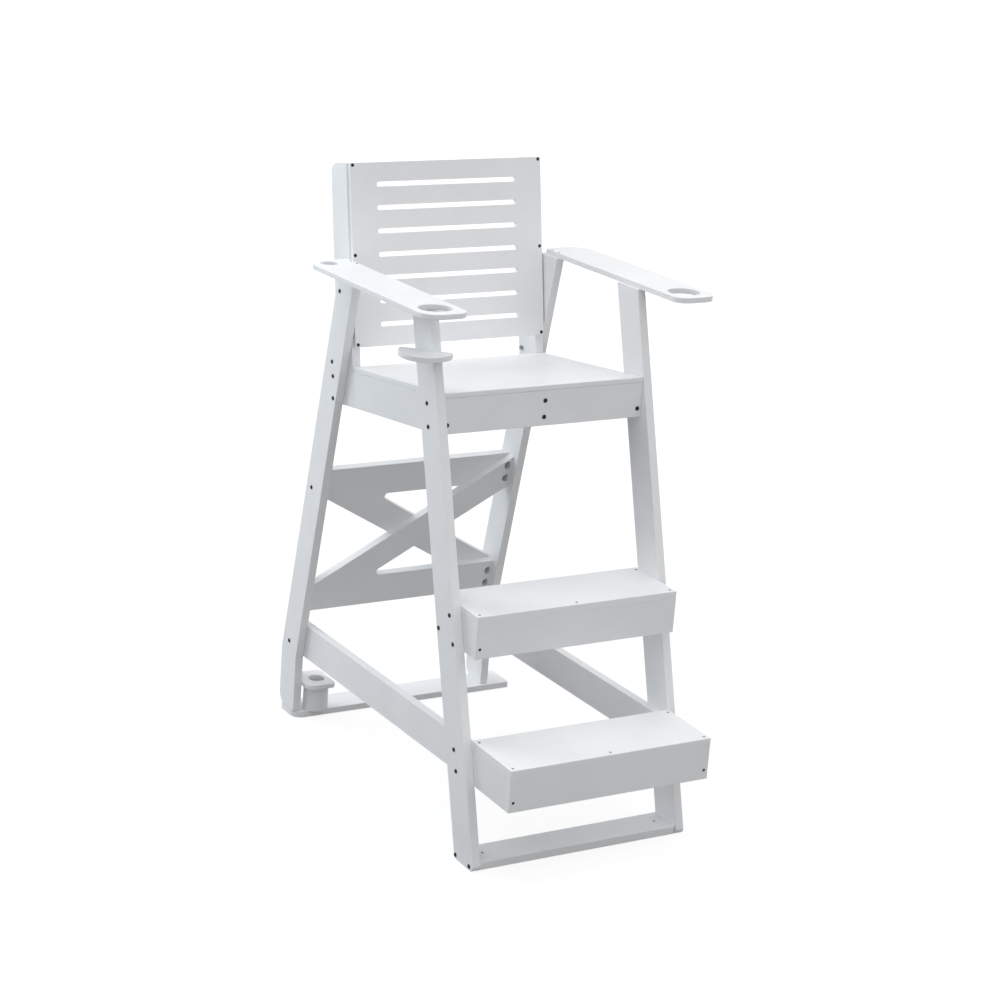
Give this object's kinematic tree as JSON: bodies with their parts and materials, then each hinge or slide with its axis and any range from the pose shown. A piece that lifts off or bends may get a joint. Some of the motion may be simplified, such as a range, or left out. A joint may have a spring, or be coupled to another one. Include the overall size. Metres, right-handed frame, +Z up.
{
  "type": "lifeguard stand",
  "caption": "Tall lifeguard stand of bolted white plastic planks with climbing steps, slatted backrest, armrests with cup holes and an umbrella socket.",
  "frame": {"origin": "on the floor, under the middle of the stand's box", "axes": "+Z up, -Y towards the front with the steps, +X towards the right side seen from the front"},
  "size_m": [0.7854, 1.165, 1.4947],
  "materials": {
    "sheet": "white plastic plank, satin face with a fine grain",
    "bolt": "black coated steel, slightly glossy"
  },
  "bodies": {
    "root": {"front_leg_left": "sheet", "front_leg_right": "sheet", "rear_leg_left": "sheet", "rear_leg_right": "sheet", "seat_apron_left": "sheet", "seat_apron_right": "sheet", "seat_front_board": "sheet", "seat_rear_board": "sheet", "seat_rib": "sheet", "seat_panel": "sheet", "back_post_left": "sheet", "back_post_right": "sheet", "back_panel": "sheet", "armrest_left": "sheet", "armrest_right": "sheet", "cup_shelf": "sheet", "side_rail_left": "sheet", "side_rail_right": "sheet", "upper_tread": "sheet", "upper_riser": "sheet", "upper_side_left": "sheet", "upper_side_right": "sheet", "lower_tread": "sheet", "lower_riser": "sheet", "front_floor_plank": "sheet", "rear_floor_plank": "sheet", "brace_front_vee": "sheet", "brace_rear_vee": "sheet", "socket_plate": "sheet", "pole_socket": "sheet", "back_screws": "bolt", "seat_bolts": "bolt", "step_screws": "bolt", "floor_screws": "bolt", "armrest_screws": "bolt", "leg_bolts_left": "bolt", "leg_bolts_right": "bolt", "brace_bolts": "bolt"}
  },
  "joints": []
}
